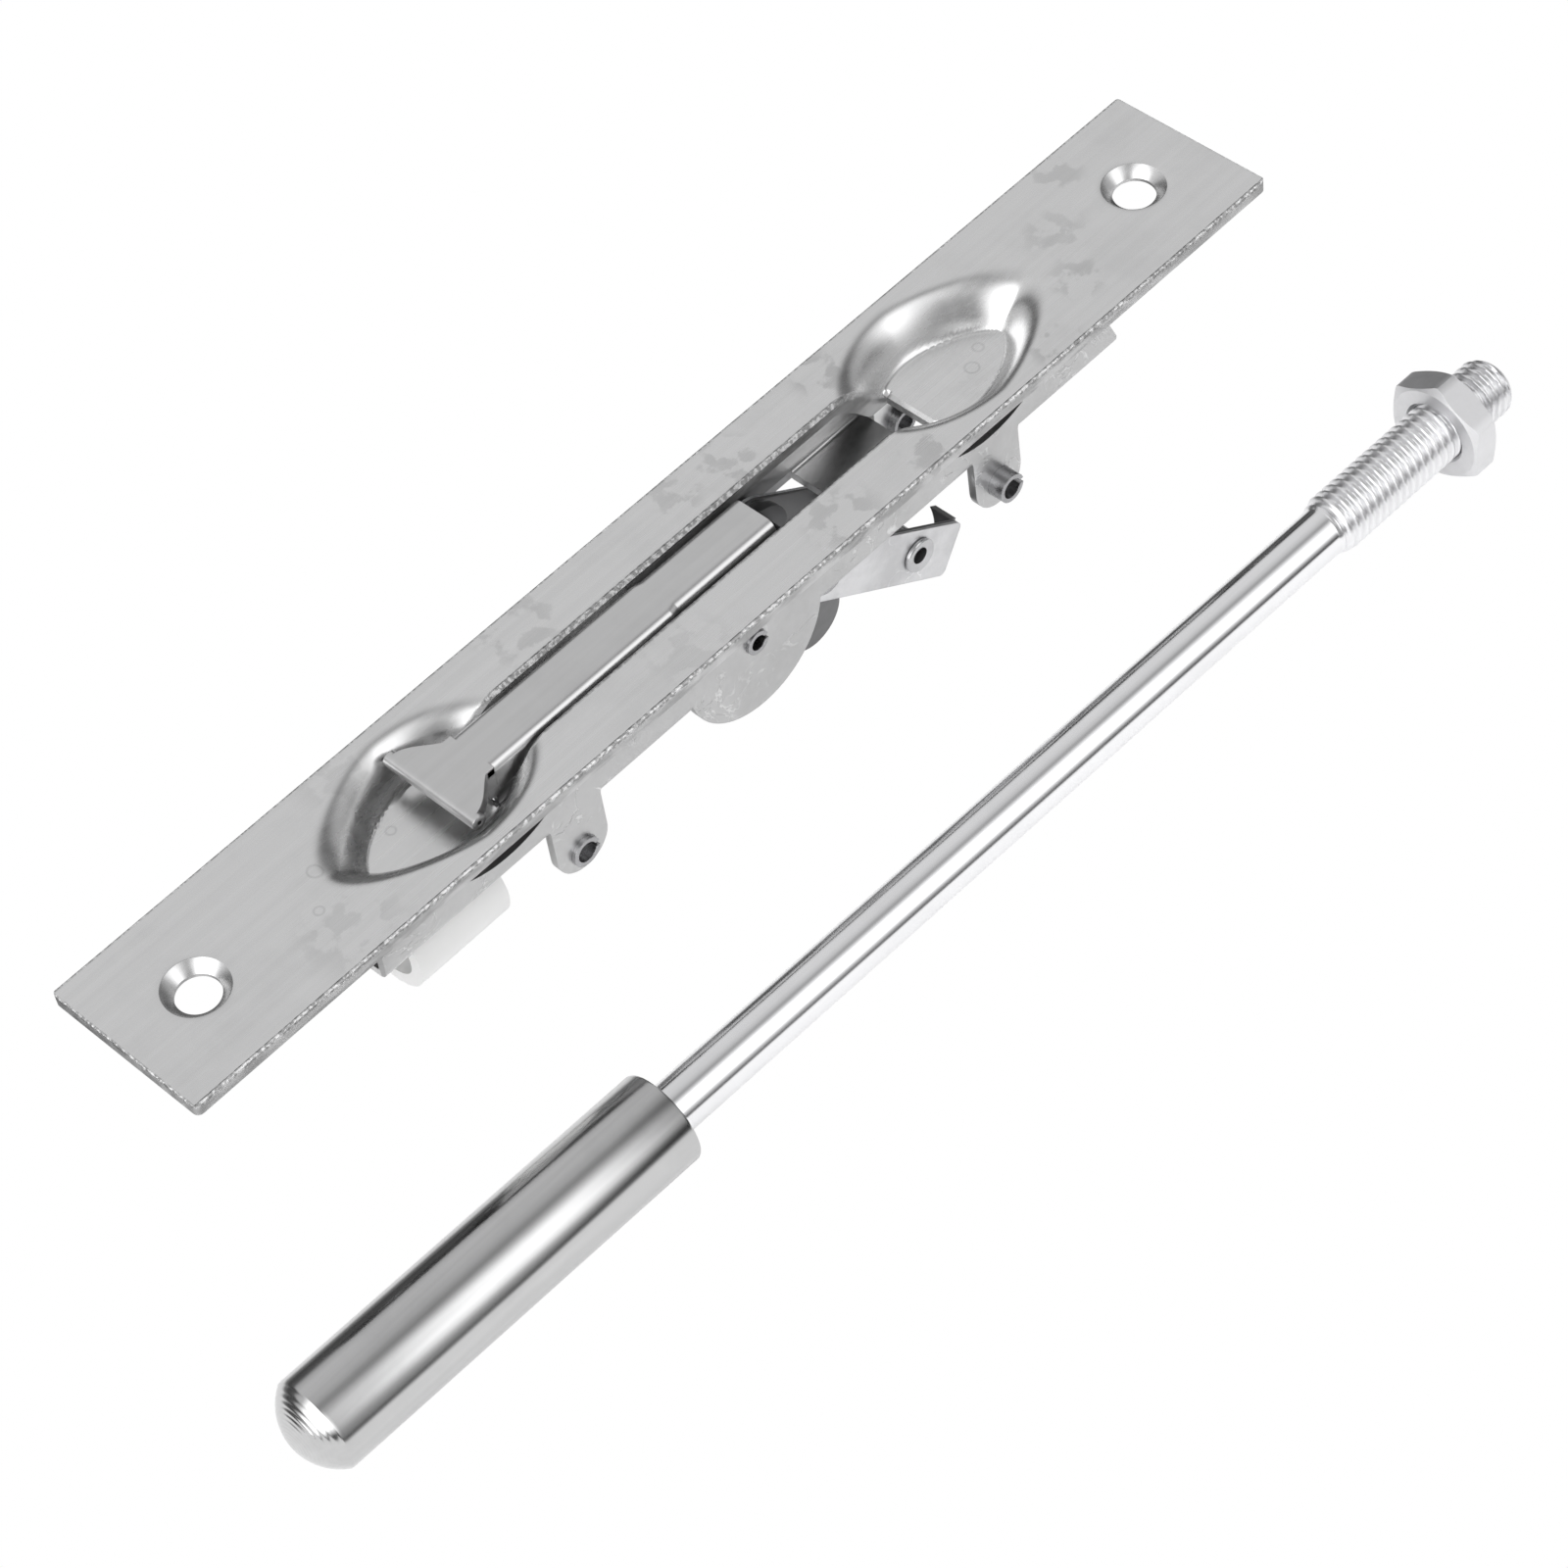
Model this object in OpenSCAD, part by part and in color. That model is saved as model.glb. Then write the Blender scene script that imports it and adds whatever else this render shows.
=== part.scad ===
// Concealed lever bolt for the edge of a door: a flush faceplate with a folding
// lever in a slot, a pressed channel behind it, a crank with link and clevis, and
// the loose bolt rod with its head and lock nut lying beside it.
// The origin is the middle of the faceplate's front face, +X runs along the plate,
// +Z points out of the door edge.

/* [Faceplate] */
// Length of the faceplate
plate_l = 178; // [170:0.5:190]
// Width of the faceplate
plate_w = 24; // [22.5:0.5:27]
// Thickness of the faceplate
plate_t = 1.8; // [1.5:0.1:2]
// Corner radius of the faceplate
plate_corner_r = 0.8; // [0.4:0.1:3]
// Distance of a screw hole from the plate's end
screw_from_end = 10.8; // [8:0.1:13]
// Diameter of a screw hole
screw_d = 5.5; // [4:0.1:6]
// Diameter of a countersink at the front face
sink_d = 8.1; // [7:0.1:10]
// Depth of a countersink
sink_depth = 1.3; // [0.8:0.1:1.4]
// Width of the slot that the lever folds through
slot_w = 8; // [7.8:0.1:8.6]
// Half length of the slot
slot_half_l = 36.8; // [35.5:0.1:38]

/* [Finger dishes] */
// Distance of a dish's middle from the plate's middle
dish_x = 43.2; // [42:0.2:45]
// Half length of a dish at its rim
dish_half_l = 16; // [15:0.25:17]
// Half width of a dish at its rim
dish_half_w = 10.4; // [10:0.1:10.6]
// Half length of a dish's flat floor
floor_half_l = 10; // [8:0.25:11]
// Half width of a dish's flat floor
floor_half_w = 5.3; // [4.5:0.1:6]
// Depth of a dish's floor below the front face
dish_depth = 5.2; // [4.8:0.1:5.6]
// Wall of the pressed sheet under a dish
dish_wall = 1.5; // [1.2:0.1:1.8]

/* [Channel] */
// Outer half width of the channel
channel_half_w = 8.9; // [8.7:0.1:9.6]
// Thickness of the channel's sheet
channel_t = 1.2; // [1:0.1:1.3]
// Depth of the channel's back below the front face
channel_depth = 10.9; // [10.6:0.1:12]
// Outer bend radius of the channel
bend_r = 1.8; // [1.3:0.1:2.4]
// Left end of the channel
channel_x0 = -60; // [-62:0.5:-58]
// Right end of the channel
channel_x1 = 64; // [62:0.5:66]
// How far the right end slopes
end_slope = 3; // [0:0.5:5]
// Left end of the window in the channel's back
window_x0 = -18.8; // [-22:0.2:-18.4]
// Right end of the window in the channel's back
window_x1 = 23.2; // [22:0.2:25]
// Radius of the notches that clear the dishes
notch_r = 14.5; // [14:0.1:15]
// Height of a notch's centre above the front face
notch_z = 6.85; // [6.5:0.05:7.2]

/* [Ears] */
// Left ear's place
left_ear_x = -30.2; // [-33:0.1:-29.8]
// Right ear's place
right_ear_x = 41.7; // [40:0.1:44]
// Radius of an ear's round end
ear_r = 4; // [3.8:0.1:4.6]
// Length of the opening in the channel's back between two ears
ear_opening_l = 12.2; // [9.6:0.2:13]
// Radius of the fillets between an ear and the wall's lower edge
ear_fillet_r = 1.2; // [0.6:0.1:1.8]
// Height of the left ear's pins against the front face
left_pin_z = -16.8; // [-17:0.1:-15.2]
// Height of the right ear's pins against the front face
right_pin_z = -16; // [-17:0.1:-15.2]
// Height of an ear's round centre against the front face
ear_z = -15.7; // [-16.2:0.1:-15]
// Outer diameter of the ear pins
ear_pin_d = 4; // [3.2:0.1:4.2]
// How far the left ear's pins stand out
left_pin_out = 0.6; // [0.3:0.1:2.4]
// How far the right ear's pins stand out
right_pin_out = 2.2; // [0.5:0.1:2.6]
// How far the ear pins reach inside the walls
ear_pin_in = 1.2; // [0.6:0.1:2]

/* [Pivot] */
// Depth of the lever's pivot below the front face
pivot_depth = 7.6; // [7.2:0.1:8]
// Radius of the wall's lobe about the pivot
lobe_r = 11; // [10:0.2:11.6]
// Outer diameter of the pivot's spring pin
pivot_pin_d = 3.3; // [2.8:0.1:3.8]
// How far the pivot pin stands out of each wall
pivot_pin_out = 0.5; // [0.2:0.1:1]
// Wall of the rolled spring pins
spring_wall = 0.6; // [0.4:0.05:0.8]
// Width of the slit along a spring pin
slit_w = 0.7; // [0.3:0.1:1]
// Outer diameter of the pivot's spacer bushes
spacer_d = 6.2; // [5.2:0.1:7]

/* [Lever] */
// Half width of the lever's front part
lever_half_w = 3.6; // [3.3:0.05:3.7]
// Half width of the lever's narrower root
root_half_w = 3.35; // [3.1:0.05:3.5]
// Thickness of the lever's sheet
lever_t = 1.1; // [0.8:0.05:1.2]
// Tip of the lever
tip_x = -43.2; // [-44:0.2:-42]
// Where the flared head begins
neck_x = -37.2; // [-37.6:0.2:-36.8]
// Half width of the flared head
head_half_w = 7.4; // [6.5:0.1:7.5]
// Where the lever begins to narrow to its root
root_x = -7; // [-9:0.25:-6.75]
// Length over which the lever narrows
narrowing_l = 1.1; // [0.6:0.1:1.2]
// Inner end of the lever's web
web_end_x = 10.3; // [9:0.1:11]
// Distance from the neck to the side flanges' front ends
flange_from_neck = 1.2; // [0.4:0.1:2]
// Depth of the lever's side flanges
flange_depth = 4.2; // [3.4:0.1:4.4]
// Outer bend radius along the lever's front part
front_bend_r = 1.2; // [1.2:0.05:1.5]
// Outer bend radius along the lever's root
root_bend_r = 1.3; // [1.2:0.05:1.5]
// Outer radius of the lever's hub
hub_r = 5.2; // [4.6:0.1:5.4]
// Radius of the hem rolled along the lever's tip
hem_r = 1; // [0.8:0.05:1.1]
// How far the lever swings, in degrees
lever_swing = 160; // [120:1:161]

/* [Crank and link] */
// Distance of the crank pin from the pivot
crank_r = 14.1; // [13.6:0.1:14.6]
// Angle of the crank below the plate at rest, in degrees
crank_rest = 9; // [8:0.5:12]
// Thickness of a crank plate
crank_t = 1.2; // [1:0.05:1.3]
// Radius of a crank plate's hub
crank_hub_r = 5.4; // [4.6:0.1:5.6]
// Radius of a crank plate's outer end
crank_end_r = 3.9; // [3:0.1:4.2]
// Diameter of the crank pin
crank_pin_d = 3.6; // [3:0.1:4]
// Angle of the link below the plate at rest, in degrees
link_angle = 33.5; // [30:0.5:36]
// Length of the link between its pins
link_l = 18.1; // [17:0.1:19]
// Thickness of a link bar
link_t = 0.9; // [0.8:0.05:0.95]
// Distance of a link bar's upper edge from its pins
link_up = 3.45; // [3:0.05:3.6]
// Distance of a link bar's lower edge from its pins
link_down = 4; // [3:0.05:4.4]
// How far a link bar reaches past the rivet
link_front = 7.2; // [6:0.1:7.5]
// Radius of the heel under the link's inner end
heel_r = 4.6; // [3:0.1:4.8]
// Distance of the heel's centre under the crank pin
heel_drop = 6.3; // [5:0.1:6.6]
// How far the heel's centre lies inward of the crank pin
heel_back = 2.4; // [0:0.1:2.6]

/* [Clevis] */
// Thickness of the clevis's cheeks
clevis_t = 0.95; // [0.8:0.05:1]
// Thickness of the clevis's end
clevis_end_t = 1.2; // [0.9:0.1:2]
// Distance of a cheek's upper edge from the rivet
cheek_up = 2.3; // [2.2:0.05:3.4]
// Distance of a cheek's lower edge from the rivet
cheek_down = 3.4; // [2.4:0.05:4]
// Distance from the rivet to the clevis's open end
clevis_rear = 3.6; // [3.2:0.1:5]
// Diameter of the hollow rivet
rivet_d = 4.1; // [3.6:0.1:4.4]
// Bore of the hollow rivet
rivet_bore_d = 2.2; // [1.6:0.1:2.6]
// How far the rivet stands out of each link bar
rivet_out = 0.65; // [0.2:0.05:0.65]
// Diameter of the rod's hole in the clevis's end
rod_hole_d = 8.3; // [8.2:0.05:8.6]
// Wall left round the rod's hole
rod_hole_wall = 0.8; // [0.6:0.05:1.2]

/* [Rod guide] */
// Left end of the rod guide
guide_x0 = -53.8; // [-55:0.1:-51.5]
// Length of the rod guide
guide_l = 14; // [10:0.5:18]
// Outer diameter of the rod guide
guide_d = 12; // [11:0.1:13]
// Bore of the rod guide
guide_bore_d = 8.3; // [8.1:0.05:8.6]
// Depth of the guide's axis below the front face
guide_depth = 18.2; // [17.8:0.1:18.5]
// Width of the guide's foot
foot_w = 7; // [5:0.5:9]
// Diameter of the guide's stem through the channel
stem_d = 4; // [3:0.25:5]

/* [Bolt rod] */
// Diameter of the bolt head
head_d = 12; // [11:0.1:13]
// Length of the bolt head's cylinder
head_l = 52; // [40:1:70]
// Height of the bolt head's domed nose
nose_h = 3.4; // [2:0.1:5]
// Diameter of the rod
rod_d = 6.5; // [6:0.1:7]
// Length of the rod from the nose's base to its tip
rod_l = 195.6; // [150:0.2:260]
// Major diameter of the rod's thread
thread_d = 7.9; // [7.8:0.05:8]
// Length of the thread
thread_l = 31; // [24:1:60]
// Length of the rod's spigot inside the head
spigot_l = 14; // [8:1:30]
// Width of the lock nut across its flats
nut_af = 13; // [12:0.5:14]
// Thickness of the lock nut
nut_t = 4; // [3:0.25:6.5]
// Distance from the rod's tip to the lock nut
nut_from_tip = 7; // [2:0.5:12]
// Place of the nose's base along the plate
rod_x = -101.3; // [-110:0.1:-90]
// Distance of the nose's base from the plate's middle
rod_y = -38.9; // [-60:0.1:-30]
// Angle of the loose rod to the plate, in degrees
rod_yaw = -1.2; // [-10:0.1:10]
// Depth of the surface that everything lies on
floor_depth = 27; // [26.8:0.1:28]

/* [Fits] */
// Radial clearance of a pin that turns in its bore
run_fit = 0.05; // [0.02:0.01:0.08]
// Radial clearance of a pin that is fixed in its bore
seat_fit = 0.01; // [0:0.005:0.02]
// Gap between flat plates that slide past each other
plate_gap = 0.15; // [0.1:0.05:0.2]

/* [Hidden] */
$fn = 64;
cut = 1;                                  // overrun of a cutting tool
near = -1;                                // the side at -Y
far = 1;                                  // the side at +Y

screw_spacing = plate_l - 2 * screw_from_end;
wall_in = channel_half_w - channel_t;     // inner face of a channel wall
web_in = channel_depth - channel_t;       // depth of the channel's inner back
pivot = [0, 0, -pivot_depth];
crank_pin_at = pivot + crank_r * [cos(crank_rest), 0, -sin(crank_rest)];
link_dir = [cos(link_angle), 0, -sin(link_angle)];
rivet_at = crank_pin_at + link_l * link_dir;

// from the middle outward: lever flange, crank plate, clevis cheek, link bar, wall
crank_out = root_half_w + crank_t;        // outer face of a crank plate
clevis_in = crank_out + plate_gap;        // inner face of a clevis cheek
clevis_out = clevis_in + clevis_t;
link_in = clevis_out + plate_gap;         // inner face of a link bar
link_out = link_in + link_t;

floor_z = -floor_depth;
rod_z = floor_z + nut_af / 2;
guide_mid = guide_x0 + guide_l / 2;
thread_x0 = rod_l - thread_l;
nut_x0 = rod_l - nut_from_tip - nut_t;

dish_rings = 6;                           // steps down a dish's side
dish_points = 44;                         // points round a dish
rim_rise = 0.12;                          // how far the rim's slope is carried past the face
rim_soft = 0.35;                          // share of a dish's side that the soft rim takes
floor_x = 42;                             // middle of a dish's flat floor
floor_tip_sharpness = 0.45;               // 0 is an oval, 1 a lens with pointed ends

// A cylinder along Y between two distances from the plate's middle line
module across(y0, y1, d, fn = 64)
    translate([0, y0, 0]) rotate([-90, 0, 0]) cylinder(d = d, h = y1 - y0, $fn = fn);

// A cylinder along X
module along(x0, x1, d, fn = 64)
    translate([x0, 0, 0]) rotate([0, 90, 0]) cylinder(d = d, h = x1 - x0, $fn = fn);

// A profile drawn in X and Z, made into a plate between two distances along Y
module side_plate(y0, y1)
    translate([0, y1, 0]) rotate([90, 0, 0]) linear_extrude(y1 - y0) children();

// A plate on one side: out and in are distances from the middle, side picks near or far
module cheek(side, inner, outer)
    side_plate(min(side * inner, side * outer), max(side * inner, side * outer)) children();

// How deep a dish's side lies at step t, from 0 at the rim to 1 at the floor: a soft rim, then straight
function slope(t) = t < 0 ? -0.9 * t * rim_rise * dish_depth
    : -dish_depth / (1 - rim_soft / 2) * (t < rim_soft ? t * t / (2 * rim_soft) : t - rim_soft / 2);
function blend(a, b, t) = a + (b - a) * t;
// A dish's outline at step t, grown outward by grow
function dish_ring(t, grow, drop) = [
    for (k = [0 : dish_points - 1])
        let (a = 360 * k / dish_points,
             half_l = blend(dish_half_l, floor_half_l, t) + grow,
             half_w = blend(dish_half_w, floor_half_w, t) + grow,
             sharp = 1 + floor_tip_sharpness * max(t, 0))
        [blend(dish_x, floor_x, t) + half_l * cos(a),
         half_w * sign(sin(a)) * pow(abs(sin(a)), sharp),
         slope(t) - drop]
];
// A closed solid through a dish's rings
module dish_solid(t0, grow, drop) {
    steps = [for (i = [0 : dish_rings]) i == 0 ? t0 : i / dish_rings];
    points = [for (t = steps) each dish_ring(t, grow, drop)];
    n = dish_points;
    sides = [for (i = [0 : dish_rings - 1], k = [0 : n - 1])
        let (a = i * n + k, b = i * n + (k + 1) % n) each [[a, b, b + n], [a, b + n, a + n]]];
    top = [[for (k = [n - 1 : -1 : 0]) k]];
    bottom = [[for (k = [0 : n - 1]) dish_rings * n + k]];
    polyhedron(points, concat(top, sides, bottom), convexity = 4);
}

// A rectangle with round corners, from true arcs
module round_rect(l, w, r) {
    square([l - 2 * r, w], center = true);
    square([l, w - 2 * r], center = true);
    for (x = [-1, 1], y = [-1, 1])
        translate([x * (l / 2 - r), y * (w / 2 - r)]) circle(r);
}

module screw_hole(x)
    translate([x, 0, 0]) {
        translate([0, 0, -plate_t - cut]) cylinder(d = screw_d, h = plate_t + 2 * cut);
        translate([0, 0, -sink_depth]) cylinder(d1 = screw_d, d2 = sink_d, h = sink_depth);
        cylinder(d = sink_d, h = cut);
    }

// Pressed stainless plate with two screw holes, the lever slot and two finger dishes
module faceplate() color([0.76, 0.77, 0.78]) {
    difference() {
        union() {
            translate([0, 0, -plate_t]) linear_extrude(plate_t) round_rect(plate_l, plate_w, plate_corner_r);
            for (m = [0, 1]) mirror([m, 0, 0]) dish_solid(0.06, 1.25, dish_wall);
        }
        for (m = [0, 1]) mirror([m, 0, 0]) dish_solid(-rim_rise, 0, 0);
        translate([-slot_half_l, -slot_w / 2, -dish_depth - 2 * dish_wall])
            cube([2 * slot_half_l, slot_w, dish_depth + 2 * dish_wall + cut]);
        for (x = [-1, 1]) screw_hole(x * screw_spacing / 2);
    }
}

// The outline of one channel wall, in X and Z
module wall_outline() {
    flat_z = -channel_depth + bend_r;
    difference() {
        union() {
            polygon([[channel_x0, -plate_t], [channel_x0, flat_z], [channel_x1, flat_z],
                     [channel_x1 - end_slope, -plate_t]]);
            translate([0, -pivot_depth]) circle(lobe_r);
            for (x = [left_ear_x, right_ear_x]) {
                translate([x, ear_z]) circle(ear_r);
                translate([x - ear_r, ear_z]) square([2 * ear_r, flat_z - ear_z]);
                for (s = [-1, 1]) translate([x + s * (ear_r + ear_fillet_r), flat_z - ear_fillet_r]) difference() {
                    translate([s > 0 ? -ear_fillet_r : 0, 0]) square(ear_fillet_r);
                    circle(ear_fillet_r);
                }
            }
        }
        translate([-lobe_r - cut, -plate_t]) square([2 * (lobe_r + cut), lobe_r]);
        for (x = [-dish_x + 2.8, dish_x - 2.1]) translate([x, notch_z]) circle(notch_r);
        for (x = [-dish_x, dish_x])
            translate([x - dish_half_l + 1, -plate_t - 2.4]) square([2 * dish_half_l - 2, 2.4 + cut]);
    }
}

// The channel's folded back: two round bends and the web, as a section in Y and Z
module back_section() {
    bend_in = bend_r - channel_t;
    for (s = [-1, 1]) intersection() {
        translate([s * (channel_half_w - bend_r), -channel_depth + bend_r]) difference() {
            circle(bend_r);
            circle(bend_in);
        }
        translate([s > 0 ? channel_half_w - bend_r : -channel_half_w, -channel_depth])
            square([bend_r, bend_r]);
    }
    translate([-channel_half_w + bend_r, -channel_depth])
        square([2 * (channel_half_w - bend_r), channel_t]);
}

// Pressed channel welded behind the faceplate, with lobes, ears, notches and a window
module channel() color([0.72, 0.73, 0.74]) {
    difference() {
        union() {
            for (s = [near, far]) cheek(s, wall_in, channel_half_w) wall_outline();
            translate([channel_x0, 0, 0]) rotate([90, 0, 90])
                linear_extrude(channel_x1 - channel_x0) back_section();
        }
        translate([window_x0, -wall_in, -channel_depth - cut])
            cube([window_x1 - window_x0, 2 * wall_in, channel_t + bend_r + cut]);
        // the sheet that the ears are folded from is missing between them
        for (x = [left_ear_x, right_ear_x])
            translate([x - ear_opening_l / 2, -wall_in, -channel_depth - cut])
                cube([ear_opening_l, 2 * wall_in, channel_t + bend_r + cut]);
        translate(pivot) across(-channel_half_w - cut, channel_half_w + cut, pivot_pin_d + 2 * seat_fit);
        for (ear = [[left_ear_x, left_pin_z], [right_ear_x, right_pin_z]]) translate([ear[0], 0, ear[1]])
            across(-channel_half_w - cut, channel_half_w + cut, ear_pin_d + 2 * seat_fit);
        translate([guide_mid, 0, -channel_depth - cut])
            cylinder(d = stem_d + 2 * seat_fit, h = channel_t + 2 * cut);
    }
}

// A rolled spring pin: a tube with one slit along it
module spring_pin(y0, y1, d) difference() {
    across(y0, y1, d, 48);
    across(y0 - cut, y1 + cut, d - 2 * spring_wall, 48);
    translate([0, y0 - cut, -slit_w / 2]) cube([d, y1 - y0 + 2 * cut, slit_w]);
}

// Spring pin that the lever turns on
module pivot_pin() color([0.55, 0.55, 0.56]) translate(pivot)
    spring_pin(-channel_half_w - pivot_pin_out, channel_half_w + pivot_pin_out, pivot_pin_d);

// Spring pin through one ear, short enough to leave the rod's way free
module ear_pin(side, x, z, stand_out) color([0.55, 0.55, 0.56]) {
    y_in = wall_in - ear_pin_in;
    y_out = channel_half_w + stand_out;
    translate([x, 0, z])
        spring_pin(side > 0 ? y_in : -y_out, side > 0 ? y_out : -y_in, ear_pin_d);
}

// Nylon tube under the channel that a rod slides through, with a foot and a headed stem
module rod_guide() color([0.95, 0.95, 0.94]) difference() {
    foot_l = guide_l - 2;
    union() {
        translate([0, 0, -guide_depth]) along(guide_x0, guide_x0 + guide_l, guide_d);
        translate([guide_mid - foot_l / 2, -foot_w / 2, -guide_depth])
            cube([foot_l, foot_w, guide_depth - channel_depth]);
        translate([guide_mid, 0, -channel_depth]) cylinder(d = stem_d, h = channel_t);
        translate([guide_mid, 0, -web_in]) cylinder(d1 = stem_d + 2.4, d2 = stem_d, h = 1.2);
    }
    translate([0, 0, -guide_depth]) along(guide_x0 - cut, guide_x0 + guide_l + cut, guide_bore_d);
}

// The lever's flared head seen from above
module head_plan() {
    steps = 12;                           // points along one side of the flare
    bluntness = 1.25;                     // how soon the flare leaves the neck
    flare_share = 0.85;                   // width of the flare where it meets the hem
    flare = [for (i = [0 : steps]) [blend(neck_x, tip_x + hem_r, i / steps),
        lever_half_w + flare_share * (head_half_w - lever_half_w) * pow(sin(90 * i / steps), bluntness)]];
    polygon(concat(flare, [for (i = [steps : -1 : 0]) [flare[i][0], -flare[i][1]]]));
    translate([neck_x - 0.01, -lever_half_w]) square([flange_from_neck + 0.01, 2 * lever_half_w]);
}

// The outline of one of the lever's side flanges, in X and Z
module flange_outline() {
    translate([neck_x + flange_from_neck, -flange_depth])
        square([web_end_x - neck_x - flange_from_neck, flange_depth]);
    translate([0, -pivot_depth]) circle(hub_r);
    polygon([[-hub_r - 4, -flange_depth + 0.5], [web_end_x, -flange_depth + 0.5],
             [hub_r * 0.8, -pivot_depth - hub_r * 0.6], [-hub_r * 0.8, -pivot_depth - hub_r * 0.6]]);
}

// A length of the lever: flat web, two round bends and the side flanges below them
module bent_length(x0, x1, half_w, r) {
    translate([x0, -half_w + r, -lever_t]) cube([x1 - x0, 2 * (half_w - r), lever_t]);
    for (s = [-1, 1]) intersection() {
        translate([0, s * (half_w - r), -r]) difference() {
            along(x0, x1, 2 * r);
            along(x0 - cut, x1 + cut, 2 * (r - lever_t));
        }
        translate([x0, s > 0 ? half_w - r : -half_w, -r]) cube([x1 - x0, r, r]);
    }
    for (s = [near, far]) cheek(s, half_w - lever_t, half_w) intersection() {
        flange_outline();
        translate([x0, -20]) square([x1 - x0, 20 - r]);
    }
}

// The short length where the lever narrows from its front part to its root
module narrowing() {
    thin = 0.02;
    ends = [[root_x - thin, lever_half_w, front_bend_r], [root_x + narrowing_l, root_half_w, root_bend_r]];
    hull() for (e = ends) translate([e[0], -e[1] + e[2], -lever_t]) cube([thin, 2 * (e[1] - e[2]), lever_t]);
    for (s = [-1, 1]) {
        hull() for (e = ends) intersection() {
            translate([0, s * (e[1] - e[2]), -e[2]]) along(e[0], e[0] + thin, 2 * e[2], 48);
            translate([e[0], s > 0 ? e[1] - e[2] : -e[1], -e[2]]) cube([thin, e[2], e[2]]);
        }
        intersection() {
            hull() for (e = ends)
                translate([e[0], s > 0 ? e[1] - lever_t : -e[1], -20]) cube([thin, lever_t, 20 - e[2]]);
            cheek(s, 0, channel_half_w) flange_outline();
        }
    }
}

// Folded steel lever: flush web, flared and hemmed tip, side flanges and a hub
module lever() color([0.78, 0.79, 0.8]) difference() {
    union() {
        translate([0, 0, -lever_t]) linear_extrude(lever_t) head_plan();
        bent_length(neck_x + flange_from_neck, root_x, lever_half_w, front_bend_r);
        narrowing();
        bent_length(root_x + narrowing_l, web_end_x, root_half_w, root_bend_r);
        // rolled hem along the tip
        translate([tip_x + hem_r, 0, -hem_r]) across(-head_half_w, head_half_w, 2 * hem_r, 32);
    }
    translate(pivot) across(-lever_half_w - cut, lever_half_w + cut, pivot_pin_d + 2 * run_fit);
}

// Plate beside the lever's hub that carries the crank pin
module crank_plate(side) color([0.5, 0.5, 0.51]) difference() {
    cheek(side, root_half_w, crank_out) hull() {
        translate([0, -pivot_depth]) circle(crank_hub_r, $fn = 48);
        translate([crank_pin_at[0], crank_pin_at[2]]) circle(crank_end_r, $fn = 48);
    }
    translate(pivot) across(-channel_half_w, channel_half_w, pivot_pin_d + 2 * run_fit);
    translate(crank_pin_at) across(-channel_half_w, channel_half_w, crank_pin_d + 2 * seat_fit);
}

// Bush on the pivot pin between a crank plate and the channel's wall
module pivot_spacer(side) color([0.6, 0.6, 0.6]) {
    y0 = crank_out + plate_gap;
    y1 = wall_in;
    translate(pivot) difference() {
        across(side > 0 ? y0 : -y1, side > 0 ? y1 : -y0, spacer_d);
        across(-channel_half_w, channel_half_w, pivot_pin_d + 2 * seat_fit);
    }
}

// Pin through both crank plates that the link hangs on, with low heads outside the link
module crank_pin() color([0.6, 0.6, 0.61]) translate(crank_pin_at) {
    head_t = 0.5;
    end = link_out + plate_gap;
    across(-end, end, crank_pin_d);
    for (s = [near, far])
        across(s > 0 ? end : -end - head_t, s > 0 ? end + head_t : -end, crank_pin_d + 1.6);
}

// The outline of a link bar, along X from the crank pin
module link_outline() {
    corner_r = 0.9;
    end_x = link_l + link_front;
    translate([0, -link_down]) square([end_x - corner_r, link_down + link_up]);
    translate([0, -link_down + corner_r]) square([end_x, link_down + link_up - 2 * corner_r]);
    translate([end_x - corner_r, -link_down + corner_r]) circle(corner_r);
    translate([end_x - corner_r, link_up - corner_r]) circle(corner_r);
    circle(link_up);
}

// Flat link bar, with an inner heel under its upper end
module link_bar(side) color([0.78, 0.79, 0.8]) difference() {
    union() {
        translate(crank_pin_at) rotate([0, link_angle, 0])
            cheek(side, link_in, link_out) link_outline();
        cheek(side, clevis_in, link_in + 0.3) translate([crank_pin_at[0], crank_pin_at[2]]) hull() {
            circle(link_up - 0.25, $fn = 48);
            translate([-heel_back, -heel_drop]) circle(heel_r, $fn = 48);
        }
    }
    translate(crank_pin_at) across(-channel_half_w, channel_half_w, crank_pin_d + 2 * run_fit);
    translate(rivet_at) across(-channel_half_w, channel_half_w, rivet_d + 2 * run_fit);
}

// U-shaped clevis that swings on the rivet; the rod's thread goes through its end
module clevis() color([0.7, 0.71, 0.72]) translate(rivet_at) rotate([0, link_angle, 0]) difference() {
    union() {
        for (s = [near, far]) cheek(s, clevis_in, clevis_out)
            translate([-clevis_rear, -cheek_down])
                square([clevis_rear + link_front, cheek_down + cheek_up]);
        translate([link_front - clevis_end_t, -clevis_out, -link_down])
            cube([clevis_end_t, 2 * clevis_out, link_down + link_up]);
        // the eye round the rod's hole is cut off level with the link's upper edge
        intersection() {
            along(link_front - clevis_end_t, link_front, rod_hole_d + 2 * rod_hole_wall);
            translate([0, -channel_half_w, link_up - 20]) cube([20, 2 * channel_half_w, 20]);
        }
    }
    across(-channel_half_w, channel_half_w, rivet_d + 2 * seat_fit);
    along(link_front - clevis_end_t - cut, link_front + cut, rod_hole_d);
}

// Hollow rivet that the clevis swings on
module clevis_rivet() color([0.8, 0.8, 0.81]) translate(rivet_at) difference() {
    across(-link_out - rivet_out, link_out + rivet_out, rivet_d);
    across(-link_out - rivet_out - cut, link_out + rivet_out + cut, rivet_bore_d);
}

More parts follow.
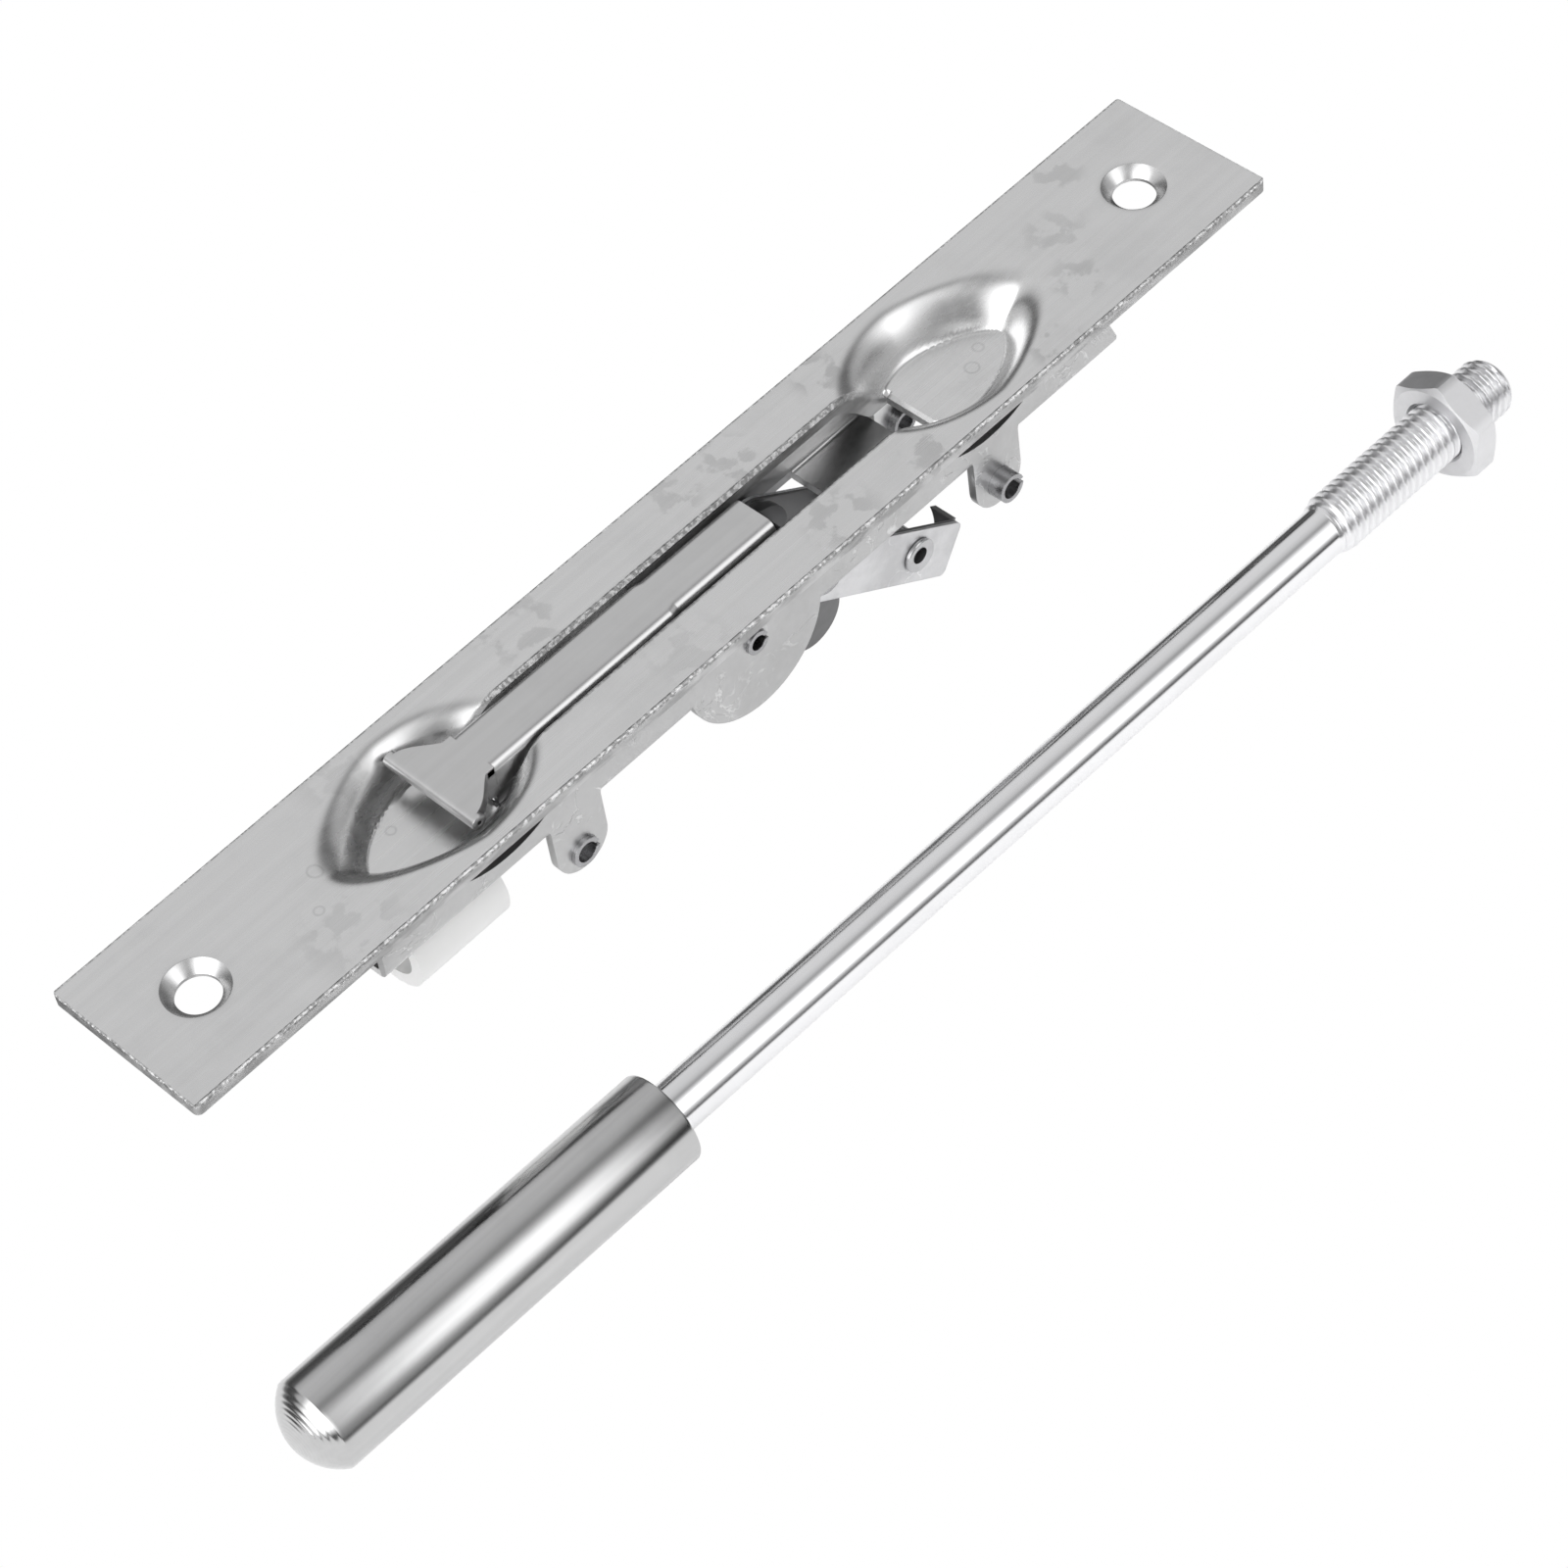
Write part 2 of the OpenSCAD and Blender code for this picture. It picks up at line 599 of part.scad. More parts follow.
// Everything on the loose rod is drawn along X from the base of its nose
module on_rod() translate([rod_x, rod_y, rod_z]) rotate([0, 0, rod_yaw]) children();

// Plain rod with a rolled thread at one end and a spigot inside the head
module bolt_rod() color([0.8, 0.8, 0.81]) on_rod() {
    chamfer = 0.8;
    along(head_l - spigot_l, thread_x0, rod_d);
    rotate([0, 90, 0]) rotate_extrude() polygon([
        [0, thread_x0 - 0.5], [rod_d / 2, thread_x0 - 0.5], [thread_d / 2, thread_x0],
        [thread_d / 2, rod_l - chamfer], [thread_d / 2 - chamfer, rod_l], [0, rod_l]]);
}

// Turned head with a domed nose and a blind hole for the rod's spigot
module bolt_head() color([0.8, 0.8, 0.81]) on_rod() difference() {
    nose_r = (pow(head_d / 2, 2) + nose_h * nose_h) / (2 * nose_h);
    edge = 0.3;
    union() {
        along(0, head_l - edge, head_d);
        translate([head_l - edge, 0, 0]) rotate([0, 90, 0])
            cylinder(d1 = head_d, d2 = head_d - 2 * edge, h = edge);
        intersection() {
            translate([nose_r - nose_h, 0, 0]) sphere(nose_r, $fn = 64);
            along(-nose_h - cut, 0, head_d);
        }
    }
    along(head_l - spigot_l, head_l + cut, rod_d + 2 * seat_fit);
}

// Thin hexagon nut, chamfered on both faces
module lock_nut() color([0.8, 0.8, 0.81]) on_rod() translate([nut_x0, 0, 0]) rotate([0, 90, 0])
    difference() {
        corner_d = nut_af / cos(30);
        bevel = (corner_d - nut_af) / 2 * tan(30);
        intersection() {
            rotate(0) cylinder(d = corner_d, h = nut_t, $fn = 6);
            union() {
                cylinder(d1 = nut_af * 0.97, d2 = corner_d + 0.02, h = bevel + 0.1);
                translate([0, 0, bevel + 0.1]) cylinder(d = corner_d + 0.02, h = nut_t - 2 * bevel - 0.2);
                translate([0, 0, nut_t - bevel - 0.1])
                    cylinder(d2 = nut_af * 0.97, d1 = corner_d + 0.02, h = bevel + 0.1);
            }
        }
        translate([0, 0, -cut]) cylinder(d = thread_d + 2 * run_fit, h = nut_t + 2 * cut);
    }

faceplate();
channel();
pivot_pin();
ear_pin(near, left_ear_x, left_pin_z, left_pin_out);  // near_left_ear_pin
ear_pin(far, left_ear_x, left_pin_z, left_pin_out);  // far_left_ear_pin
ear_pin(near, right_ear_x, right_pin_z, right_pin_out);  // near_right_ear_pin
ear_pin(far, right_ear_x, right_pin_z, right_pin_out);  // far_right_ear_pin
rod_guide();
lever();
crank_plate(near);  // near_crank_plate
crank_plate(far);  // far_crank_plate
pivot_spacer(near);  // near_pivot_spacer
pivot_spacer(far);  // far_pivot_spacer
crank_pin();
link_bar(near);  // near_link_bar
link_bar(far);  // far_link_bar
clevis();
clevis_rivet();
bolt_rod();
bolt_head();
lock_nut();
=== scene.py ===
import math

import bmesh
import bpy
import numpy as np
from mathutils import Matrix, Vector


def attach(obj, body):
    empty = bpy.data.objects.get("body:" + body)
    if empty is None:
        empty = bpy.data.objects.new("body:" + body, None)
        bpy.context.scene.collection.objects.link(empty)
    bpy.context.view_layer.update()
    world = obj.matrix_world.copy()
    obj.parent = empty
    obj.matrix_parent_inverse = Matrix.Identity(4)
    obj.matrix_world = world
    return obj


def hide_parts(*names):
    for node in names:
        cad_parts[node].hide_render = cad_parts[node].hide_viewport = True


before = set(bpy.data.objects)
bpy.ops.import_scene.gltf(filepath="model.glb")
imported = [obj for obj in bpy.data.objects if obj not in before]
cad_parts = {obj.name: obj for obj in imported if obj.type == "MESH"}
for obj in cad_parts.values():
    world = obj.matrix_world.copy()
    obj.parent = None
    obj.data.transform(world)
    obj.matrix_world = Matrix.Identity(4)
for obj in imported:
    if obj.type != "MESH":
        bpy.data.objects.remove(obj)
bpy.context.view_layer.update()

MM = 0.001

# Sizes repeated from the part's source, in millimetres
PLATE_L, PLATE_W, PLATE_T, PLATE_CORNER_R = 178.0, 24.0, 1.8, 0.8
SCREW_X, SCREW_R, SINK_R, SINK_DEPTH = 78.2, 2.75, 4.05, 1.3
SLOT_HALF_L, SLOT_HALF_W = 36.8, 4.0
DISH_DEPTH, DISH_WALL = 5.2, 1.5
NECK_X, TIP_X, HEM_R, LEVER_HALF_W, HEAD_HALF_W = -37.2, -43.2, 1.0, 3.6, 7.4
RIVET_X, RIVET_Z, RIVET_END, RIVET_R, RIVET_BORE_R = 29.020, -19.796, 7.35, 2.05, 1.1
ROD_AT = Vector((-101.3, -38.9, -20.5))
ROD_YAW = math.radians(-1.2)
HEAD_R, HEAD_L, NOSE_H = 6.0, 52.0, 3.4
ROD_R, ROD_L, SPIGOT_L = 3.25, 195.6, 14.0
THREAD_R, THREAD_L = 3.95, 31.0
NUT_X0, NUT_T, NUT_AF = 184.6, 4.0, 13.0

# The floor lies just under the nut's lowest corner
FLOOR_Z = -28.05

# A dish's outline, first at its rim and then on its floor. The powers shape the side towards
# the slot and the pointed side towards the tip.
DISH = {
    "middle": (43.2, 42.0),
    "length_to_slot": (16.2, 8.8),
    "length_to_tip": (17.2, 11.3),
    "half_width": (10.8, 5.5),
    "slot_power_along": (2.0, 2.0),
    "slot_power_across": (0.50, 0.60),
    "tip_power_along": (1.15, 2.0),
    "tip_power_across": (0.52, 0.75),
}
# Shares of a dish's side that are its soft rim and the round at its floor, from where and over
# which length the side changes to the softer one at its tip, and how much wider than the dish its
# bulge on the back is
RIM_SOFT, FLOOR_SOFT = 0.74, 0.12
TIP_FROM, TIP_CHANGE = 42.0, 8.0
DISH_GROW = 1.25

# The faceplate's skin: between which places along it the dishes lie, the grid's steps there, in
# the middle, between dish and screw, round a screw and at the ends, the half width of the patch
# round a screw and the radius up to which it stays flat
DISH_FROM, DISH_TO = 26.0, 61.0
FINE_STEP, MIDDLE_STEP, PLAIN_STEP, SCREW_STEP, END_STEP = 0.3, 0.8, 1.2, 0.75, 0.6
SCREW_PATCH, SCREW_FLAT_R = 6.0, 5.0
# The widths of the rounds at the slot's and the outer edge, how far the slot's falls, which share
# of its width the outer one falls, and the insets of the grid's last lines
SLOT_ROUND, SLOT_DROP = 0.45, 0.42
EDGE_ROUND, EDGE_SHARE = 0.22, 0.8
EDGE_INSETS = (0.8, 0.5, 0.25, 0.1, 0.0)

# The thread's pitch and depth, the parts of a wave that are its root and its rib's side, how far
# before the thread the ribs begin and over which length they grow, and the chamfer's depth and slope
PITCH, THREAD_DEPTH, ROOT_PART, SIDE_PART = 1.25, 0.62, 0.10, 0.74
RIBS_BEFORE, RIBS_GROW = 1.2, 2.2
CHAMFER_DEPTH, CHAMFER_SLOPE = 0.75, 0.8
# The small chamfer on the spigot, how far the rod's other end is hollowed, how far before the
# thread the rod begins to dull, and the depth and spacing of the turned rings on the head's nose
SPIGOT_CHAMFER, END_HOLLOW, DULL_BEFORE = 0.3, 0.12, 1.5
RING_DEPTH, RING_SPACING = 0.026, 0.46
# The nut's chamfer: the share of its half width where it begins, its angle, how far the corners are
# cut back, and the depth and width of the chamfer at its bore
CHAMFER_SHARE, CHAMFER_ANGLE, CORNER_CUT = 0.965, 27, 0.12
BORE_CHAMFER_T, BORE_CHAMFER_W = 0.45, 0.4

# The lever's skirts: wall, soft lower edge, how far they reach past the neck, which share of the
# head's flare they follow and by what power, top, lower edge, its rise and where along it that ends
SKIRT_T, SKIRT_SOFT, SKIRT_LAP = 0.55, 0.12, 1.1
SKIRT_FLARE, FLARE_POWER = 0.85, 1.25
SKIRT_TOP, SKIRT_LOW, SKIRT_RISE, RISE_END = -0.25, -3.6, 1.9, 0.8
# The flange tabs' wall, their inset and their outline as x and z
TAB_T, TAB_INSET = 0.88, 0.02
TAB = [(-38.2, -0.9), (-38.2, -2.4), (-37.5, -4.5), (-36.6, -4.9), (-36.4, -6.6), (-32.4, -6.6),
       (-31.2, -4.0), (-31.2, -0.9)]
SIDES = {-1: "near", 1: "far"}

# Smudges on the plate's front as x, y, radius and depth, and round tool marks as x, y and radius
SMUDGES = [(62, -5, 5, 0.16), (66, 2, 6, 0.12), (31, 9, 5, 0.2), (14, 8, 6, 0.16), (6, 9, 5, 0.14),
           (-20, 9, 8, 0.14), (16, -9, 7, 0.16), (30, -10, 5, 0.18), (45, -3, 8, 0.12), (74, 9, 5, 0.14),
           (-62, -8, 9, 0.10), (52, -10.5, 5, 0.2), (-10, -9, 8, 0.08), (-48, 10, 8, 0.08)]
TOOL_MARKS = [(-59, 1.5, 0.9), (-62.5, -3, 0.6), (-47.5, 2.6, 0.6), (46.5, -1.2, 0.9), (49.5, 0.5, 0.7)]

# The direction that the dish walls with painted shade face, and between which places along the plate
# the painted shade begins
SHADED_WALLS_FACE = (0.8, 0.6, 0)
WALL_SHADE_FROM = (24.0, 26.0)

# The scales of the noise: the metal's streaks and blotches and the nylon's grain, and on the plate
# its sheared edge, that edge's painted glints, the lines on its sides and the smudges' clouds
STREAKS, BLOTCHES, NYLON_GRAIN = 900, 70, 500
SHEARED, GLINTS, SIDE_LINES, CLOUDS = 1500, 1900, 600, 260

# Brushed metal's noise is stretched along the plate or the rod
BRUSHED = (0.02, 1, 1)

# Half widths of what counts as the inside of the channel, crank plates, crank pin and link bars,
# and the heights between which the channel's back gives way to its walls. Inside these the colour is
# painted darker as shade, and on the channel's back it is painted lighter as light
CHANNEL_INSIDE, CRANK_INSIDE, PIN_INSIDE, LINK_INSIDE = 7.75, 5.0, 6.0, 6.2
BACK_TOP, WALLS_FROM = -9.75, -9.5

# The floor, in metres: its tone across the part as y and tone, where and how far it fades on the
# right, its half width and its glow
FLOOR_REACH = 0.2
FLOOR_TONES = [(-0.2, 0.10), (-0.13, 0.15), (-0.09, 0.92), (-0.008, 0.92), (0.022, 0.22), (0.2, 0.10)]
FADE_FROM, FADE_TO, FADED = 0.10, 0.15, 0.15
FLOOR_HALF, FLOOR_GLOW = 3.0, 0.3

# The studio's brightness by the angle about the plate's long axis, from +Z towards -Y, and then
# its darker and brighter places: how each acts, its direction, outer and inner angle, and its
# value outside and inside
STUDIO = [(-90, 0.08), (-71, 0.12), (-61, 0.62), (-48, 0.76), (-20, 0.72), (-4, 0.60), (3, 0.46), (9, 0.36),
          (15, 0.5), (26, 1.1), (36, 1.6), (56, 1.7), (67, 1.2), (76, 0.45), (84, 0.10), (90, 0.06)]
STUDIO_GAIN = 2.0
PLACES = [("MULTIPLY", (-0.33, -0.62, 0.71), 34, 12, 1, 0.25),
          ("MULTIPLY", (1, -0.25, 0.15), 52, 28, 1, 0.30),
          ("MULTIPLY", (-0.42, -0.85, 0.30), 38, 18, 1, 0.08),
          ("ADD", (-0.82, -0.17, 0.54), 42, 18, 0, 0.9),
          ("ADD", (0.10, -0.86, 0.48), 40, 22, 0, 0.15)]

# The photo's camera, in metres
CAMERA_AT = Vector((-0.21195, -0.27004, 0.38026))
CAMERA_RIGHT = Vector((0.684338, -0.721782, -0.103499))
CAMERA_DOWN = Vector((-0.611179, -0.490385, -0.621275))
CAMERA_FORWARD = Vector((0.397671, 0.488419, -0.776727))
CAMERA_LENS = 101.35


# Meshes

def mesh_object(name, verts, faces, body, slot, smooth_angle):
    """A piece from points in millimetres, smooth except where it bends by more than the angle."""
    mesh = bpy.data.meshes.new(name)
    mesh.from_pydata([tuple(c * MM for c in v) for v in verts], [], faces)
    mesh.validate()
    obj = bpy.data.objects.new(name, mesh)
    bpy.context.scene.collection.objects.link(obj)
    joined = bmesh.new()
    joined.from_mesh(mesh)
    bmesh.ops.remove_doubles(joined, verts=joined.verts, dist=1e-7)
    bmesh.ops.recalc_face_normals(joined, faces=joined.faces)
    joined.to_mesh(mesh)
    joined.free()
    for polygon in mesh.polygons:
        polygon.use_smooth = True
    mesh.set_sharp_from_angle(angle=math.radians(smooth_angle))
    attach(obj, body)
    return obj


def tube(rings, closed=False):
    """Points and faces of a skin over rings that have the same number of points."""
    n = len(rings[0])
    verts = [point for ring in rings for point in ring]
    faces = []
    for i in range(len(rings) if closed else len(rings) - 1):
        a, b = i * n, (i + 1) % len(rings) * n
        faces += [(a + k, a + (k + 1) % n, b + (k + 1) % n, b + k) for k in range(n)]
    return verts, faces


def sealed(rings):
    """A tube with a face over each end."""
    verts, faces = tube(rings)
    n = len(rings[0])
    return verts, faces + [tuple(range(n)), tuple(range(len(verts) - n, len(verts)))]


def ring_about_x(x, radii):
    """A ring about the X axis, whose points lie at these distances from it."""
    angles = [2 * math.pi * k / len(radii) for k in range(len(radii))]
    return [(x, r * math.cos(a), r * math.sin(a)) for r, a in zip(radii, angles)]


def lathe(profile, steps, closed=False):
    """A profile of x and radius turned about the X axis."""
    return tube([ring_about_x(x, [r] * steps) for x, r in profile], closed)


def place_on_rod(verts):
    """Points along the rod's own axis, moved to where the rod lies."""
    c, s = math.cos(ROD_YAW), math.sin(ROD_YAW)
    return [(ROD_AT.x + x * c - y * s, ROD_AT.y + x * s + y * c, ROD_AT.z + z) for x, y, z in verts]


def spread(a, b, step):
    """Even places from a to b, about one step apart."""
    n = max(1, round((b - a) / step))
    return [a + (b - a) * i / n for i in range(n + 1)]


def mirrored(values):
    """The values in order, with their mirror images."""
    half = sorted(set(round(v, 4) for v in values))
    return [-v for v in reversed(half) if v > 0] + half


# Faceplate

def dish_step(x, y, grow=0.0):
    """How far down a dish's side each point lies: 0 at or outside the rim, 1 on the floor."""

    def inside(t):
        middle, to_slot, to_tip, half_width, slot_along, slot_across, tip_along, tip_across = (
            rim + (floor - rim) * t for rim, floor in DISH.values())
        from_middle = np.abs(x) - middle
        tip = from_middle > 0
        u = np.abs(from_middle) / (np.where(tip, to_tip, to_slot) + grow)
        v = np.abs(y) / (half_width + grow)
        left = np.clip(1 - np.power(u, np.where(tip, tip_along, slot_along)), 0, 1)
        return (u < 1) & (v < np.power(left, np.where(tip, tip_across, slot_across)))

    lo, hi = np.zeros_like(x), np.ones_like(x)
    outside, on_floor = ~inside(lo), inside(hi)
    for _ in range(30):
        mid = (lo + hi) / 2
        ok = inside(mid)
        lo, hi = np.where(ok, mid, lo), np.where(ok, hi, mid)
    return np.where(outside, 0.0, np.where(on_floor, 1.0, lo))


def fall(t, x):
    """Share of a dish's depth at step t: a soft rim, a straight side and a small round at the
    floor. Towards the dish's tip the rim runs out softer still."""
    full = 1 - RIM_SOFT / 2 - FLOOR_SOFT / 2
    low = np.clip(t - (1 - FLOOR_SOFT), 0, FLOOR_SOFT)
    side = np.where(t < RIM_SOFT, t * t / (2 * RIM_SOFT), t - RIM_SOFT / 2) - low ** 2 / (2 * FLOOR_SOFT)
    tip = np.clip((np.abs(x) - TIP_FROM) / TIP_CHANGE, 0, 1)
    return side / full * (1 - tip) + t * t * tip


def round_corners(x, y):
    """The grid's points near the plate's corners, drawn in along a circle."""
    half_x, half_y = PLATE_L / 2 - PLATE_CORNER_R, PLATE_W / 2 - PLATE_CORNER_R
    dx, dy = np.clip(np.abs(x) - half_x, 0, None), np.clip(np.abs(y) - half_y, 0, None)
    away = np.hypot(dx, dy)
    k = np.where(away > 0, np.maximum(dx, dy) / np.maximum(away, 1e-9), 1)
    return (np.where(away > 0, np.sign(x) * (np.minimum(np.abs(x), half_x) + dx * k), x),
            np.where(away > 0, np.sign(y) * (np.minimum(np.abs(y), half_y) + dy * k), y))


def plate_front(x, y):
    """Height of the front face: the dishes and the small rounds along the outer edge and slot."""
    front = -DISH_DEPTH * fall(dish_step(x, y), x)
    margin = np.minimum(PLATE_L / 2 - np.abs(x), PLATE_W / 2 - np.abs(y))
    front -= np.clip(EDGE_ROUND - margin, 0, EDGE_ROUND) ** 2 / EDGE_ROUND * EDGE_SHARE
    past_end, past_side = np.abs(x) - SLOT_HALF_L, np.abs(y) - SLOT_HALF_W
    near_slot = np.maximum(past_end, past_side) <= SLOT_ROUND + 1e-6
    on_line = np.minimum(np.abs(past_end), np.abs(past_side)) < 1e-6
    return front - np.where(near_slot & on_line, SLOT_DROP, 0)


def plate_back(x, y):
    """Height of the back face, which bulges under the dishes."""
    t = dish_step(x, y, DISH_GROW)
    return np.minimum(-PLATE_T, np.where(t > 0, -DISH_DEPTH * fall(t, x) - DISH_WALL, 0))


def faceplate():
    """Front and back skins on a grid, the walls between them and the two countersunk holes."""
    half_l, half_w = PLATE_L / 2, PLATE_W / 2
    slot_end, slot_side = SLOT_HALF_L + SLOT_ROUND, SLOT_HALF_W + SLOT_ROUND
    xs = mirrored(spread(0, DISH_FROM, MIDDLE_STEP)
                  + spread(DISH_FROM, SLOT_HALF_L, FINE_STEP)
                  + spread(slot_end, DISH_TO, FINE_STEP)
                  + spread(DISH_TO, SCREW_X - SCREW_PATCH, PLAIN_STEP)
                  + spread(SCREW_X - SCREW_PATCH, SCREW_X + SCREW_PATCH, SCREW_STEP)
                  + spread(SCREW_X + SCREW_PATCH, half_l - EDGE_INSETS[0], END_STEP)
                  + [half_l - inset for inset in EDGE_INSETS])
    ys = mirrored(spread(0, SLOT_HALF_W, FINE_STEP)
                  + spread(slot_side, SCREW_PATCH, FINE_STEP)
                  + spread(SCREW_PATCH, half_w - EDGE_INSETS[0], FINE_STEP)
                  + [half_w - inset for inset in EDGE_INSETS])
    x, y = round_corners(*np.meshgrid(np.array(xs), np.array(ys), indexing="ij"))
    heights = (plate_front(x, y), plate_back(x, y))

    def opening(i, j):
        """Which opening a cell of the grid lies in, if any."""
        cell_x, cell_y = abs(xs[i] + xs[i + 1]) / 2, abs(ys[j] + ys[j + 1]) / 2
        if cell_x < SLOT_HALF_L and cell_y < SLOT_HALF_W:
            return "slot"
        if abs(cell_x - SCREW_X) < SCREW_PATCH and cell_y < SCREW_PATCH:
            return "screw"
        return None

    openings = {(i, j): opening(i, j) for i in range(len(xs) - 1) for j in range(len(ys) - 1)}
    verts, faces, index = [], [], {}

    def at(layer, i, j):
        """The number of a grid point on the front (0) or the back (1)."""
        if (layer, i, j) not in index:
            index[layer, i, j] = len(verts)
            verts.append((float(x[i, j]), float(y[i, j]), float(heights[layer][i, j])))
        return index[layer, i, j]

    for (i, j), found in openings.items():
        if found:
            continue
        corners = [(i, j), (i + 1, j), (i + 1, j + 1), (i, j + 1)]
        faces.append([at(0, *c) for c in corners])
        faces.append([at(1, *c) for c in reversed(corners)])
        neighbours = [(i, j - 1), (i + 1, j), (i, j + 1), (i - 1, j)]
        for k, neighbour in enumerate(neighbours):
            if openings.get(neighbour, "outside") in ("outside", "slot"):
                a, b = corners[k], corners[(k + 1) % 4]
                faces.append((at(0, *b), at(0, *a), at(1, *a), at(1, *b)))

    for screw_x in (-SCREW_X, SCREW_X):
        cols = [i for i, v in enumerate(xs) if abs(v - screw_x) < SCREW_PATCH + 1e-6]
        rows = [j for j, v in enumerate(ys) if abs(v) < SCREW_PATCH + 1e-6]
        loop = [(i, rows[0]) for i in cols[:-1]] + [(cols[-1], j) for j in rows[:-1]]
        loop += [(i, rows[-1]) for i in reversed(cols[1:])] + [(cols[0], j) for j in reversed(rows[1:])]
        angles = [math.atan2(y[i, j], x[i, j] - screw_x) for i, j in loop]
        n = len(loop)
        profile = [(SCREW_FLAT_R, 0), (SINK_R + 0.12, 0), (SINK_R - 0.02, -0.06),
                   (SCREW_R + 0.1, 0.05 - SINK_DEPTH), (SCREW_R, -0.05 - SINK_DEPTH), (SCREW_R, -PLATE_T)]
        rings = [[at(0, i, j) for i, j in loop]]
        for r, z in profile:
            rings.append(range(len(verts), len(verts) + n))
            verts.extend((screw_x + r * math.cos(a), r * math.sin(a), z) for a in angles)
        rings.append([at(1, i, j) for i, j in loop])
        for a, b in zip(rings, rings[1:]):
            faces += [(a[k], a[(k + 1) % n], b[(k + 1) % n], b[k]) for k in range(n)]
    obj = mesh_object("faceplate_pressed", verts, faces, "plate", "plate_steel", 38)
    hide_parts("faceplate")
    return obj


# Loose rod

def rod_radius(x, turn):
    """The rod's radius at x. The thread's ribs move on with the share of a turn, grow out of the
    plain rod and end in a chamfer."""
    wave = 0.5 - 0.5 * math.cos(2 * math.pi * (x / PITCH + turn))
    rib = min(1, max(0, (wave - ROOT_PART) / SIDE_PART))
    grown = min(1, max(0, (x - (ROD_L - THREAD_L - RIBS_BEFORE)) / RIBS_GROW))
    radius = ROD_R * (1 - grown) + (THREAD_R - THREAD_DEPTH * (1 - rib)) * grown
    return min(radius, THREAD_R - CHAMFER_DEPTH + (ROD_L - x) * CHAMFER_SLOPE)


def bolt_rod():
    """The rod with its rolled thread and the spigot inside the head."""
    steps, per_pitch, plain_step = 72, 11, 4.0
    rod_from, plain_to = HEAD_L - SPIGOT_L, ROD_L - THREAD_L - RIBS_BEFORE - 0.4
    xs = [rod_from + SPIGOT_CHAMFER] + spread(HEAD_L - 0.5, plain_to, plain_step)
    xs += spread(plain_to + 0.2, ROD_L, PITCH / per_pitch)
    rings = [ring_about_x(rod_from, [r] * steps) for r in (0, ROD_R - SPIGOT_CHAMFER)]
    rings += [ring_about_x(x, [rod_radius(x, k / steps) for k in range(steps)]) for x in xs]
    rings.append(ring_about_x(ROD_L - END_HOLLOW, [0] * steps))
    verts, faces = tube(rings)
    obj = mesh_object("bolt_rod_threaded", place_on_rod(verts), faces, "bolt", "rod_steel", 50)
    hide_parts("bolt_rod")
    return obj


def bolt_head():
    """The head with fine turned rings on its domed nose and a chamfered rear end."""
    steps, nose_steps = 128, 160
    nose_r = (HEAD_R ** 2 + NOSE_H ** 2) / (2 * NOSE_H)
    profile = []
    for r in spread(0, HEAD_R, HEAD_R / nose_steps)[:-1]:
        on_nose = 0.3 < r < HEAD_R - 0.12
        groove = RING_DEPTH * (0.5 - 0.5 * math.cos(2 * math.pi * r / RING_SPACING)) if on_nose else 0
        profile.append((nose_r - NOSE_H - math.sqrt(nose_r ** 2 - r * r) + groove, r))
    profile += [(0.05, HEAD_R - 0.05), (0.3, HEAD_R), (HEAD_L / 2, HEAD_R), (HEAD_L - 0.35, HEAD_R),
                (HEAD_L - 0.12, HEAD_R - 0.1), (HEAD_L, HEAD_R - 0.35), (HEAD_L, ROD_R + 0.35),
                (HEAD_L - 0.25, ROD_R + 0.04), (HEAD_L - SPIGOT_L, ROD_R + 0.04), (HEAD_L - SPIGOT_L, 0)]
    verts, faces = lathe(profile, steps)
    obj = mesh_object("bolt_head_turned", place_on_rod(verts), faces, "bolt", "head_steel", 25)
    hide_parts("bolt_head")
    return obj


def lock_nut():
    """A hexagon nut whose corners are chamfered on both faces."""
    steps, side, half_side = 84, math.radians(60), math.radians(30)
    half, bore = NUT_AF / 2, THREAD_R + 0.05
    flat_r, slope = half * CHAMFER_SHARE, math.tan(math.radians(CHAMFER_ANGLE))
    corner_r = half / math.cos(half_side) - CORNER_CUT
    angles = [2 * math.pi * k / steps for k in range(steps)]
    outline = [min(corner_r, half / math.cos(a % side - half_side)) for a in angles]
    chamfer = [max(0, r - flat_r) * slope for r in outline]

    def ring(radii, depths):
        """A ring whose points have these distances from the axis and depths along it."""
        return [(NUT_X0 + x, r * math.sin(a), r * math.cos(a)) for r, x, a in zip(radii, depths, angles)]

    def even(r, x):
        return ring([r] * steps, [x] * steps)

    rings = [even(bore, BORE_CHAMFER_T), even(bore + BORE_CHAMFER_W, 0), even(flat_r, 0),
             ring(outline, chamfer), ring(outline, [NUT_T - c for c in chamfer]), even(flat_r, NUT_T),
             even(bore + BORE_CHAMFER_W, NUT_T), even(bore, NUT_T - BORE_CHAMFER_T)]
    verts, faces = tube(rings, closed=True)
    obj = mesh_object("lock_nut_chamfered", place_on_rod(verts), faces, "nut", "nut_steel", 22)
    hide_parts("lock_nut")
    return obj


# Small pieces on the lever and the clevis

